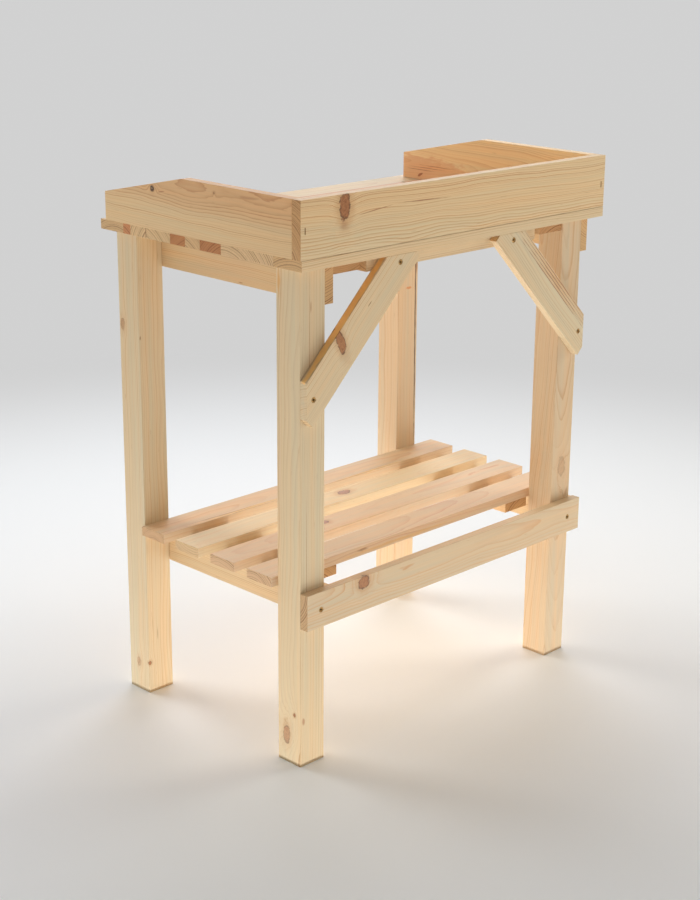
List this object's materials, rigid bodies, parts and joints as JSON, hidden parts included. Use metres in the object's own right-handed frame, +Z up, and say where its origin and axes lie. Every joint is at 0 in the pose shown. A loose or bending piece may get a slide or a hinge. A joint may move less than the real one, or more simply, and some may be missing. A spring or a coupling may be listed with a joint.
{
  "type": "potting bench",
  "caption": "Free-standing pine potting bench with a tray-edged worktop, a slatted shelf, a back stretcher and diagonal back braces.",
  "frame": {"origin": "middle of the whole bench's footprint, on the floor", "axes": "+Z up, -Y towards the open front of the worktop, +X along the bench to the right of someone standing at the front"},
  "size_m": [0.638, 0.4203, 0.8041],
  "materials": {
    "leg_pine": "planed, unfinished, eased edges",
    "rail_pine": "planed, unfinished, eased edges",
    "glued_panel_pine": "glued from planed strips, sanded, unfinished",
    "tray_pine": "planed, unfinished, knots",
    "slat_pine": "planed, unfinished, knots",
    "brace_pine": "planed, unfinished, knots",
    "batten_pine": "planed, unfinished",
    "screw_zinc": "yellow zinc plated, satin",
    "staple_steel": "galvanised wire"
  },
  "bodies": {
    "root": {"back_stretcher": "brace_pine", "back_stretcher_screw_left": "screw_zinc", "back_stretcher_screw_right": "screw_zinc", "brace_anchor_screw": "screw_zinc", "brace_anchor_strip": "batten_pine", "diagonal_brace_left": "brace_pine", "diagonal_brace_left_screw_foot": "screw_zinc", "diagonal_brace_left_screw_head": "screw_zinc", "diagonal_brace_right": "brace_pine", "diagonal_brace_right_screw_foot": "screw_zinc", "diagonal_brace_right_screw_head": "screw_zinc", "leg_back_left": "leg_pine", "leg_back_right": "leg_pine", "leg_front_left": "leg_pine", "leg_front_right": "leg_pine", "lower_side_rail_left": "rail_pine", "lower_side_rail_left_screw_back": "screw_zinc", "lower_side_rail_left_screw_front": "screw_zinc", "lower_side_rail_right": "rail_pine", "lower_side_rail_right_screw_back": "screw_zinc", "lower_side_rail_right_screw_front": "screw_zinc", "shelf_batten_left": "batten_pine", "shelf_batten_right": "batten_pine", "shelf_left_screw_1": "screw_zinc", "shelf_left_screw_2": "screw_zinc", "shelf_left_screw_3": "screw_zinc", "shelf_left_screw_4": "screw_zinc", "shelf_right_screw_1": "screw_zinc", "shelf_right_screw_2": "screw_zinc", "shelf_right_screw_3": "screw_zinc", "shelf_right_screw_4": "screw_zinc", "shelf_slat_1": "slat_pine", "shelf_slat_2": "slat_pine", "shelf_slat_3": "slat_pine", "shelf_slat_4": "slat_pine", "tray_back_board": "tray_pine", "tray_back_screw": "screw_zinc", "tray_side_board_left": "tray_pine", "tray_side_board_right": "tray_pine", "tray_side_screw_left": "screw_zinc", "tray_side_screw_right": "screw_zinc", "tray_staple_left": "staple_steel", "tray_staple_right": "staple_steel", "upper_side_rail_left": "rail_pine", "upper_side_rail_left_screw_back": "screw_zinc", "upper_side_rail_left_screw_front": "screw_zinc", "upper_side_rail_right": "rail_pine", "upper_side_rail_right_screw_back": "screw_zinc", "upper_side_rail_right_screw_front": "screw_zinc", "worktop_batten_left": "batten_pine", "worktop_batten_left_screw_back": "screw_zinc", "worktop_batten_left_screw_front": "screw_zinc", "worktop_batten_right": "batten_pine", "worktop_batten_right_screw_back": "screw_zinc", "worktop_batten_right_screw_front": "screw_zinc", "worktop_panel": "glued_panel_pine", "worktop_screw_back_left": "screw_zinc", "worktop_screw_back_right": "screw_zinc", "worktop_screw_front_left": "screw_zinc", "worktop_screw_front_right": "screw_zinc"}
  },
  "joints": []
}
